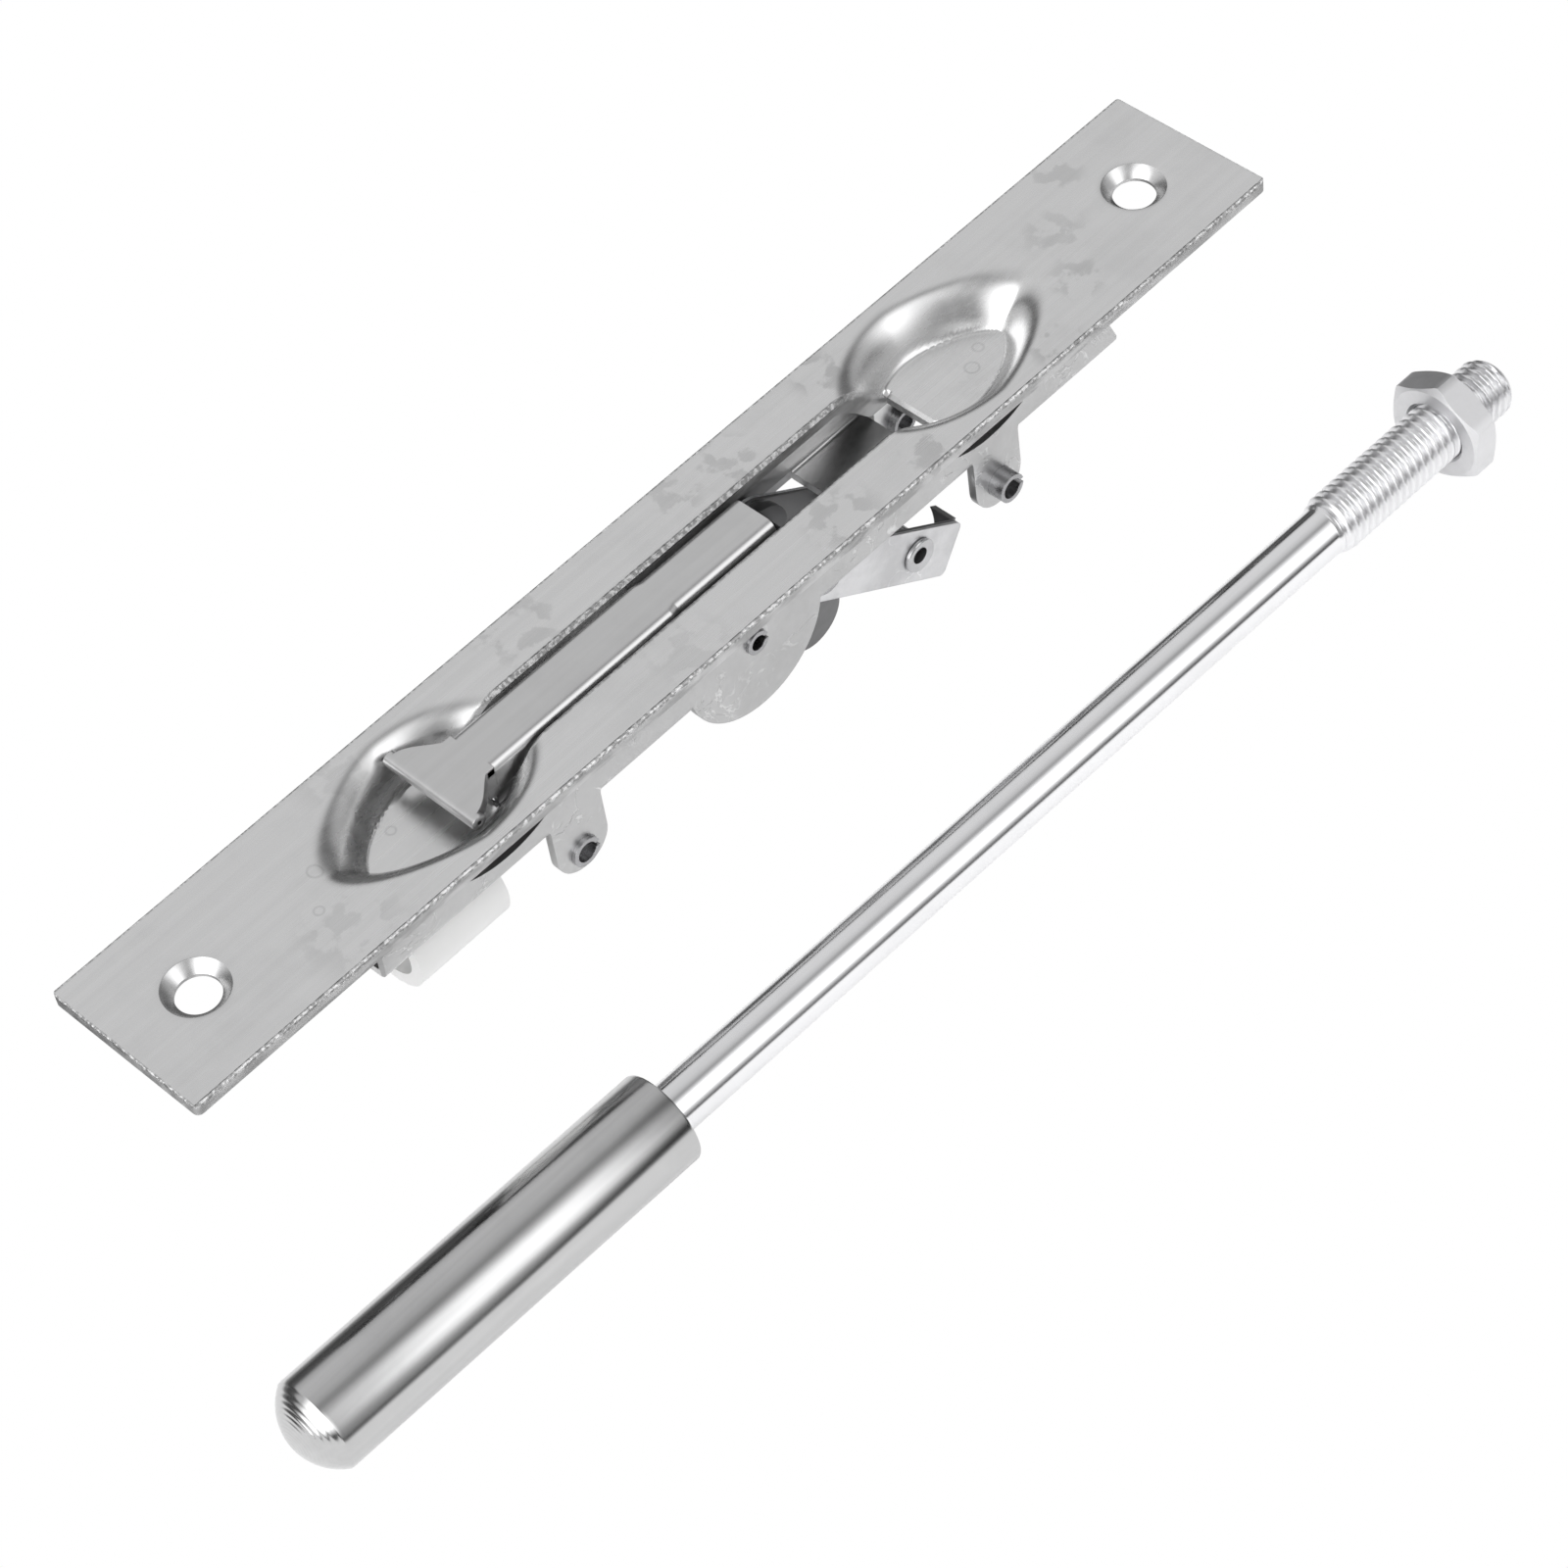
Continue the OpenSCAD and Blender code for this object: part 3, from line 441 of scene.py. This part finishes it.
def lever_skirt(side):
    """The flared head's side, turned down beside the neck and running out at the hem."""
    steps = 24
    start, end = NECK_X + SKIRT_LAP, TIP_X + HEM_R
    rings = []
    for u in (i / steps for i in range(steps + 1)):
        x = start + (end - start) * u
        flare = math.sin(math.pi / 2 * max(0, (NECK_X - x) / (NECK_X - end))) ** FLARE_POWER
        out = LEVER_HALF_W + SKIRT_FLARE * (HEAD_HALF_W - LEVER_HALF_W) * flare
        inner = out - SKIRT_T
        low = SKIRT_LOW + SKIRT_RISE * min(1, u / RISE_END)
        section = [(out, SKIRT_TOP), (out, low + SKIRT_SOFT), (out - SKIRT_SOFT, low),
                   (inner + SKIRT_SOFT, low), (inner, low + SKIRT_SOFT), (inner, SKIRT_TOP)]
        rings.append([(x, side * y, z) for y, z in section])
    return mesh_object(f"{SIDES[side]}_lever_skirt", *sealed(rings), "lever", "lever_steel", 40)


def on_hem(verts, side):
    """Points turned about the X axis, moved to the hem's end."""
    return [(y + TIP_X + HEM_R, side * (HEAD_HALF_W + x), z - HEM_R) for x, y, z in verts]


def hem_end(side):
    """The open curl at an end of the rolled hem."""
    profile = [(0, 0.16), (-0.02, 0.2), (0.07, 0.34), (0.08, 0.6), (0.04, 0.84), (0, 0.9)]
    verts, faces = lathe(profile, 32)
    return mesh_object(f"{SIDES[side]}_hem_curl", on_hem(verts, side), faces, "lever", "lever_steel", 40)


def hem_shadow_disc(side):
    """A dark disc in the middle of the curl, a painted shadow for the hollow there."""
    verts, faces = lathe([(0.03, 0.3), (0.01, 0)], 20)
    return mesh_object(f"{SIDES[side]}_hem_shadow_disc", on_hem(verts, side), faces, "lever", "lever_steel", 60)


def lever_tab(side):
    """The side flange's front end, which reaches below the neck."""
    out = LEVER_HALF_W - TAB_INSET
    rings = [[(x, side * y, z) for x, z in TAB] for y in (out, out - TAB_T)]
    return mesh_object(f"{SIDES[side]}_flange_tab", *sealed(rings), "lever", "lever_steel", 40)


def clevis_rivet():
    """The hollow rivet with its two rolled flanges."""
    flange_r, roll = 2.35, 0.34
    half = [(RIVET_END - 0.6, RIVET_R), (RIVET_END - 0.58, flange_r - 0.06), (RIVET_END - 0.5, flange_r)]
    for a in (math.radians(75 - 15 * k) for k in range(6)):
        half.append((RIVET_END - roll + roll * math.cos(a), flange_r - roll + roll * math.sin(a)))
    half += [(RIVET_END - 0.03, flange_r - 0.6), (RIVET_END - 0.16, RIVET_BORE_R + 0.2),
             (RIVET_END - 0.24, RIVET_BORE_R + 0.04), (RIVET_END - 0.6, RIVET_BORE_R)]
    verts, faces = lathe(half + [(-x, r) for x, r in reversed(half)], 64, closed=True)
    turned = [(y + RIVET_X, x, z + RIVET_Z) for x, y, z in verts]
    obj = mesh_object("clevis_rivet_rolled", turned, faces, "clevis", "rivet_steel", 35)
    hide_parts("clevis_rivet")
    return obj


# Materials

class Graph:
    """Short ways to add nodes to a tree. A value is a number or another node's output."""

    def __init__(self, tree):
        self.tree = tree
        coord = self.node("ShaderNodeTexCoord")
        self.at = coord.outputs["Object"]
        self.facing = coord.outputs["Normal"]
        self.toward = coord.outputs["Generated"]

    def put(self, socket, value):
        """Set or link an input."""
        if isinstance(value, bpy.types.NodeSocket):
            self.tree.links.new(value, socket)
        else:
            socket.default_value = value

    def node(self, kind, inputs=None, **settings):
        """A new node with these settings and inputs."""
        made = self.tree.nodes.new(kind)
        for key, value in settings.items():
            setattr(made, key, value)
        for key, value in (inputs or {}).items():
            self.put(made.inputs[key], value)
        return made

    def math(self, operation, *values):
        """One step of arithmetic."""
        return self.node("ShaderNodeMath", dict(enumerate(values)), operation=operation).outputs["Value"]

    def times(self, first, *others):
        """All the values multiplied."""
        for other in others:
            first = self.math("MULTIPLY", first, other)
        return first

    def vector(self, operation, first, second, output="Value"):
        return self.node("ShaderNodeVectorMath", {0: first, 1: second}, operation=operation).outputs[output]

    def split(self, vector):
        return self.node("ShaderNodeSeparateXYZ", {"Vector": vector}).outputs

    def ramp(self, value, lo, hi, to_lo=0.0, to_hi=1.0, kind="LINEAR"):
        inputs = {"Value": value, "From Min": lo, "From Max": hi, "To Min": to_lo, "To Max": to_hi}
        return self.node("ShaderNodeMapRange", inputs, interpolation_type=kind).outputs["Result"]

    def fade(self, *values):
        """A ramp with soft ends."""
        return self.ramp(*values, kind="SMOOTHSTEP")

    def within(self, value, start, end, *to):
        """A fade between two places in millimetres."""
        return self.fade(value, start * MM, end * MM, *to)

    def noise(self, scale, detail=2.0, rough=0.5, stretch=None, distortion=0.0):
        at = self.at
        if stretch:
            at = self.node("ShaderNodeMapping", {"Vector": at, "Scale": stretch}).outputs["Vector"]
        inputs = {"Vector": at, "Scale": scale, "Detail": detail, "Roughness": rough,
                  "Distortion": distortion}
        return self.node("ShaderNodeTexNoise", inputs).outputs["Fac"]

    def tones(self, value, stops):
        """A colour that runs through the stops, each with its place from 0 to 1."""
        made = self.node("ShaderNodeValToRGB", {"Fac": value})
        elements = made.color_ramp.elements
        while len(elements) < len(stops):
            elements.new(0.5)
        for element, (place, color) in zip(elements, stops):
            element.position = place
            element.color = (*color, 1)
        return made.outputs["Color"]

    def multiply(self, color, factor):
        inputs = {"Factor": 1, "A": color, "B": factor}
        return self.node("ShaderNodeMix", inputs, data_type="RGBA", blend_type="MULTIPLY").outputs["Result"]

    def bump(self, height, depth, normal=None):
        inputs = {"Height": height, "Strength": 1, "Distance": depth * MM}
        if normal:
            inputs["Normal"] = normal
        return self.node("ShaderNodeBump", inputs).outputs["Normal"]

    def by_camera(self, seen, unseen, target):
        """Camera rays meet one shader and all other rays the other."""
        is_camera = self.node("ShaderNodeLightPath").outputs["Is Camera Ray"]
        mix = self.node("ShaderNodeMixShader", {"Fac": is_camera, 1: unseen, 2: seen})
        self.put(target, mix.outputs["Shader"])


class Finish:
    """A material that is made already, with what it now sends to its surface."""

    def __init__(self, material):
        self.graph = Graph(material.node_tree)
        surface = next(n for n in material.node_tree.nodes if n.type == "BSDF_PRINCIPLED")
        self.color = surface.inputs["Base Color"]
        self.rough = surface.inputs["Roughness"]
        self.normal = surface.inputs["Normal"]

    def tint(self, factor):
        self.graph.put(self.color, self.graph.multiply(self.color.links[0].from_socket, factor))

    def roughen(self, more):
        self.graph.put(self.rough, self.graph.math("ADD", self.rough.links[0].from_socket, more))

    def emboss(self, height, depth):
        self.graph.put(self.normal, self.graph.bump(height, depth, self.normal.links[0].from_socket))


def new_material(name):
    material = bpy.data.materials.new(name)
    material.use_nodes = True
    material.node_tree.nodes.clear()
    graph = Graph(material.node_tree)
    surface = graph.node("ShaderNodeBsdfPrincipled")
    graph.node("ShaderNodeOutputMaterial", {"Surface": surface.outputs["BSDF"]})
    return material, graph, surface.inputs


def steel(name, color, rough, rough_spread=0.08, brush=(1, 1, 1), streaks=0.0, mottle=0.0, grain=0.0,
          bevel=0.0):
    """Metal with streaks along the axis where brush is small, soft blotches and a fine grain."""
    material, graph, surface = new_material(name)
    streak = graph.noise(STREAKS, 5, 0.6, brush)
    blotch = graph.noise(BLOTCHES, 6, 0.65)
    blotched = graph.tones(blotch, [(0.36, [c * (1 - mottle) for c in color]), (0.52, color)])
    streaked = graph.tones(streak, [(0.3, [1 - streaks] * 3), (0.7, [1, 1, 1])])
    graph.put(surface["Base Color"], graph.multiply(blotched, streaked))
    graph.put(surface["Metallic"], 1)
    graph.put(surface["Roughness"], graph.ramp(streak, 0, 1, rough - rough_spread, rough + rough_spread))
    normal = None
    if bevel:
        normal = graph.node("ShaderNodeBevel", {"Radius": bevel * MM}, samples=6).outputs["Normal"]
    if grain:
        normal = graph.bump(streak, grain, normal)
    if normal:
        graph.put(surface["Normal"], normal)
    return material


def nylon():
    material, graph, surface = new_material("white_nylon")
    graph.put(surface["Base Color"], (0.93, 0.93, 0.92, 1))
    graph.put(surface["Roughness"], 0.38)
    graph.put(surface["Subsurface Weight"], 0.25)
    graph.put(surface["Subsurface Radius"], (0.002, 0.002, 0.002))
    graph.put(surface["Normal"], graph.bump(graph.noise(NYLON_GRAIN), 0.02))
    return material


def inner_shade_and_light(material, half_width, tone, back_shade_and_light=None):
    """Painted shade: a darker tone nearer the middle than the half width, where the inside lies in shadow,
    and a third tone on the channel's back there, which paints light where it is above 1.
    """
    finish = Finish(material)
    graph = finish.graph
    _, y, z = graph.split(graph.at)
    inner = graph.ramp(graph.math("ABSOLUTE", y), half_width * MM, (half_width + 0.06) * MM, 1, 0)
    change = graph.ramp(z, BACK_TOP * MM, WALLS_FROM * MM, (back_shade_and_light or tone) - 1, tone - 1)
    finish.tint(graph.math("MULTIPLY_ADD", inner, change, 1))
    return material


def scratched(material, scale, gain, depth, from_y):
    """Thin wandering marks that catch the light, further from the middle than from_y."""
    finish = Finish(material)
    graph = finish.graph
    line = graph.math("ABSOLUTE", graph.math("SUBTRACT", graph.noise(scale, 3, distortion=1.2), 0.5))
    where = graph.ramp(graph.noise(scale * 0.45), 0.5, 0.58)
    mark = graph.math("MULTIPLY", graph.ramp(line, 0.03, 0.0), where)
    away = graph.math("ABSOLUTE", graph.split(graph.at)[1])
    mark = graph.math("MULTIPLY", mark, graph.ramp(away, from_y * MM, (from_y + 0.06) * MM))
    finish.tint(graph.math("ADD", 1, graph.math("MULTIPLY", mark, gain)))
    finish.emboss(mark, depth)
    return material


def dull_thread(material):
    """The rolled thread is duller than the drawn rod."""
    finish = Finish(material)
    graph = finish.graph
    thread_from = ROD_AT.x + ROD_L - THREAD_L
    x = graph.split(graph.at)[0]
    finish.roughen(graph.ramp(x, (thread_from - DULL_BEFORE) * MM, thread_from * MM, 0, 0.17))
    return material


def sheared_edges(graph):
    """1 along the plate's outer edge and the slot's edge, and 1 along the slot's edge alone."""
    x, y, z = graph.split(graph.at)
    along, across = graph.math("ABSOLUTE", x), graph.math("ABSOLUTE", y)
    outer = graph.math("MAXIMUM", graph.within(across, PLATE_W / 2 - 0.4, PLATE_W / 2 - 0.2),
                       graph.within(along, PLATE_L / 2 - 0.3, PLATE_L / 2 - 0.1))
    by_slot = graph.times(graph.within(across, SLOT_HALF_W + 0.75, SLOT_HALF_W + 0.35),
                          graph.within(along, SLOT_HALF_L + 0.7, SLOT_HALF_L + 0.3))
    near_front = graph.within(z, -0.75, -0.35)
    return graph.times(graph.math("MAXIMUM", outer, by_slot), near_front), by_slot


def dish_wall_shade(graph):
    """How much painted shade darkens the walls of the dishes that face one way."""
    x, _, z = graph.split(graph.at)
    along = graph.math("ABSOLUTE", x)
    in_dish = graph.times(graph.within(z, -0.05, -0.6), graph.within(along, *WALL_SHADE_FROM))
    shade_facing = graph.vector("DOT_PRODUCT", graph.facing, SHADED_WALLS_FACE)
    return graph.times(graph.fade(shade_facing, 0.12, 0.5, 0, 0.45), in_dish)


def smudges(graph):
    """The tone of each smudge."""
    cloud = graph.fade(graph.noise(CLOUDS, 8), 0.47, 0.56)
    tones = []
    for x, y, r, depth in SMUDGES:
        away = graph.vector("DISTANCE", graph.at, (x * MM, y * MM, 0))
        patch = graph.times(graph.within(away, r, 0.3 * r), cloud)
        tones.append(graph.fade(patch, 0, 1, 1, 1 - depth))
    return tones


def tool_marks(graph):
    """The tone of each round tool mark, a thin ring."""
    flat = graph.vector("MULTIPLY", graph.at, (1, 1, 0), "Vector")
    tones = []
    for x, y, r in TOOL_MARKS:
        away = graph.vector("DISTANCE", flat, (x * MM, y * MM, 0))
        off = graph.math("ABSOLUTE", graph.math("SUBTRACT", away, r * MM))
        tones.append(graph.within(off, 0.05, 0.22, 0.86, 1))
    return tones


def worn_and_shaded_plate(material):
    """Rough sheared edges with painted glints, painted shade on the dish walls that face one way and on the
    back, smudges and tool marks on the faceplate's metal.
    """
    finish = Finish(material)
    graph = finish.graph
    edge, by_slot = sheared_edges(graph)
    up = graph.split(graph.facing)[2]
    side = graph.fade(graph.math("ABSOLUTE", up), 0.45, 0.3)
    back = graph.fade(up, -0.1, -0.4)
    finish.emboss(graph.times(graph.noise(SHEARED, 3), edge), 0.16)

    # Painted glints: the sheared edges' colour runs in flecks from 0.62 to 1.25 times, and lower along the
    # slot
    glints = graph.times(graph.fade(graph.noise(GLINTS), 0.42, 0.6, 0.62, 1.25),
                          graph.fade(by_slot, 0, 1, 1, 0.62))
    edge_glints = graph.math("ADD", graph.times(glints, edge), graph.math("SUBTRACT", 1, edge))
    lines = graph.fade(graph.noise(SIDE_LINES, 4, stretch=(0.25, 1, 1)), 0.35, 0.65, 0.05, 0.4)
    side_tone = graph.math("SUBTRACT", 1, graph.times(side, lines))
    # Painted shade: faces turned down are darkened to 0.12
    back_shade_and_light = graph.fade(back, 0, 1, 1, 0.12)
    # Painted shade on the dish walls that face one way
    unshaded = graph.math("SUBTRACT", 1, dish_wall_shade(graph))
    finish.tint(graph.times(edge_glints, side_tone, back_shade_and_light, unshaded, *smudges(graph), *tool_marks(graph)))
    finish.roughen(graph.times(graph.math("MAXIMUM", edge, side), 0.18))
    return material


def dress(obj, material):
    obj.data.materials.clear()
    obj.data.materials.append(material)


# Floor, light and camera

def floor():
    """A sweep that is lit where the part lies and falls into shade beyond it."""
    mesh = bpy.data.meshes.new("floor")
    corners = [(-FLOOR_HALF, -FLOOR_HALF), (FLOOR_HALF, -FLOOR_HALF), (FLOOR_HALF, FLOOR_HALF),
               (-FLOOR_HALF, FLOOR_HALF)]
    mesh.from_pydata([(x, y, FLOOR_Z * MM) for x, y in corners], [], [(0, 1, 2, 3)])
    obj = bpy.data.objects.new("floor", mesh)
    bpy.context.scene.collection.objects.link(obj)
    material = bpy.data.materials.new("floor_white")
    material.use_nodes = True
    material.node_tree.nodes.clear()
    graph = Graph(material.node_tree)
    x, y, _ = graph.split(graph.at)
    stops = [((at + FLOOR_REACH) / (2 * FLOOR_REACH), [tone] * 3) for at, tone in FLOOR_TONES]
    across = graph.tones(graph.ramp(y, -FLOOR_REACH, FLOOR_REACH), stops)
    tone = graph.math("MULTIPLY", across, graph.ramp(x, FADE_FROM, FADE_TO, 1, FADED))
    lit = graph.node("ShaderNodeBsdfDiffuse", {"Color": tone})
    lift = graph.node("ShaderNodeEmission", {"Color": tone, "Strength": FLOOR_GLOW})
    sweep = graph.node("ShaderNodeAddShader", {0: lit.outputs["BSDF"], 1: lift.outputs["Emission"]})
    white = graph.node("ShaderNodeEmission", {"Color": (1, 1, 1, 1), "Strength": 1})
    out = graph.node("ShaderNodeOutputMaterial")
    graph.by_camera(white.outputs["Emission"], sweep.outputs["Shader"], out.inputs["Surface"])
    mesh.materials.append(material)


def studio():
    """Soft light from a studio round the part, before a white background."""
    world = bpy.data.worlds.new("studio")
    bpy.context.scene.world = world
    world.use_nodes = True
    world.node_tree.nodes.clear()
    graph = Graph(world.node_tree)
    _, y, z = graph.split(graph.toward)
    angle = graph.math("ARCTAN2", graph.math("MULTIPLY", y, -1), z)
    stops = [((at + 90) / 180, [level / STUDIO_GAIN] * 3) for at, level in STUDIO]
    level = graph.tones(graph.ramp(angle, -math.pi / 2, math.pi / 2), stops)
    for operation, direction, outer, inner, outside, inside in PLACES:
        near = graph.vector("DOT_PRODUCT", graph.toward, Vector(direction).normalized())
        edge = (math.cos(math.radians(outer)), math.cos(math.radians(inner)))
        level = graph.math(operation, level, graph.fade(near, *edge, outside, inside))
    gain = (STUDIO_GAIN, STUDIO_GAIN, STUDIO_GAIN + 0.01, 1)
    unseen = graph.node("ShaderNodeBackground", {"Color": gain, "Strength": level})
    seen = graph.node("ShaderNodeBackground", {"Color": (1, 1, 1, 1)})
    out = graph.node("ShaderNodeOutputWorld")
    graph.by_camera(seen.outputs["Background"], unseen.outputs["Background"], out.inputs["Surface"])


def camera():
    """The photo's camera."""
    data = bpy.data.cameras.new("photo_camera")
    data.sensor_width = 36
    data.lens = CAMERA_LENS
    data.clip_start = 0.01
    obj = bpy.data.objects.new("photo_camera", data)
    bpy.context.scene.collection.objects.link(obj)
    turn = Matrix((CAMERA_RIGHT, -CAMERA_DOWN, -CAMERA_FORWARD)).transposed().to_4x4()
    obj.matrix_world = Matrix.Translation(CAMERA_AT) @ turn
    bpy.context.scene.camera = obj
    bpy.context.scene.view_settings.view_transform = "Standard"


# Build

plate_mat = steel("plate_steel", (0.76, 0.76, 0.76), rough=0.27, rough_spread=0.06, brush=BRUSHED,
                  streaks=0.08, mottle=0.05, grain=0.0018)
channel_mat = steel("channel_steel", (0.60, 0.60, 0.60), rough=0.34, streaks=0.06, mottle=0.10,
                    grain=0.004, bevel=0.12)
lever_mat = steel("lever_steel", (0.65, 0.65, 0.65), rough=0.30, rough_spread=0.06, brush=(0.03, 1, 1),
                  streaks=0.08, mottle=0.05, grain=0.003, bevel=0.12)
crank_mat = steel("crank_steel", (0.45, 0.45, 0.46), rough=0.42, streaks=0.06, mottle=0.2,
                  grain=0.004, bevel=0.15)
link_mat = steel("link_steel", (0.80, 0.80, 0.81), rough=0.36, brush=(0.3, 1, 1), streaks=0.05,
                 mottle=0.2, grain=0.003, bevel=0.2)
pin_mat = steel("pin_steel", (0.45, 0.45, 0.46), rough=0.28, streaks=0.08, mottle=0.25, grain=0.004,
                bevel=0.15)
rivet_mat = steel("rivet_steel", (0.65, 0.65, 0.66), rough=0.24, rough_spread=0.05, streaks=0.05,
                  mottle=0.1, grain=0.002)
rod_mat = steel("rod_steel", (0.88, 0.88, 0.89), rough=0.15, rough_spread=0.05, brush=BRUSHED,
                streaks=0.05, mottle=0.04, grain=0.0015)
head_mat = steel("head_steel", (0.57, 0.57, 0.57), rough=0.16, rough_spread=0.05, brush=BRUSHED,
                 streaks=0.08, mottle=0.05, grain=0.0015)
nut_mat = steel("nut_steel", (0.76, 0.76, 0.77), rough=0.42, rough_spread=0.05, streaks=0.05,
                mottle=0.1, grain=0.002)
# A near black material for the painted shadow in the hem's curl
hem_shadow_mat = steel("hem_shadow", (0.06, 0.06, 0.06), rough=0.6)
# Painted shade on the insides of the channel, link bars, crank plates and crank pin, and painted light on
# the channel's back
scratched(inner_shade_and_light(channel_mat, CHANNEL_INSIDE, 0.9, 1.6), 260, 0.4, 0.05, CHANNEL_INSIDE)
scratched(inner_shade_and_light(link_mat, LINK_INSIDE, 0.28), 230, 0.35, 0.03, LINK_INSIDE)
inner_shade_and_light(crank_mat, CRANK_INSIDE, 0.5)
crank_pin_mat = inner_shade_and_light(pin_mat.copy(), PIN_INSIDE, 0.3)

dress(faceplate(), worn_and_shaded_plate(plate_mat))
dress(bolt_rod(), dull_thread(rod_mat))
dress(bolt_head(), head_mat)
dress(lock_nut(), nut_mat)
dress(clevis_rivet(), rivet_mat)
for side in SIDES:
    dress(lever_skirt(side), lever_mat)
    dress(hem_end(side), lever_mat)
    dress(lever_tab(side), lever_mat)
    dress(hem_shadow_disc(side), hem_shadow_mat)
for material, names in (
        (channel_mat, ["channel"]),
        (pin_mat, ["pivot_pin", "near_left_ear_pin", "far_left_ear_pin", "near_right_ear_pin",
                   "far_right_ear_pin", "near_pivot_spacer", "far_pivot_spacer"]),
        (crank_pin_mat, ["crank_pin"]),
        (lever_mat, ["lever"]),
        (crank_mat, ["near_crank_plate", "far_crank_plate"]),
        (link_mat, ["near_link_bar", "far_link_bar", "clevis"]),
        (nylon(), ["rod_guide"])):
    for name in names:
        dress(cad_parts[name], material)

floor()
studio()
camera()
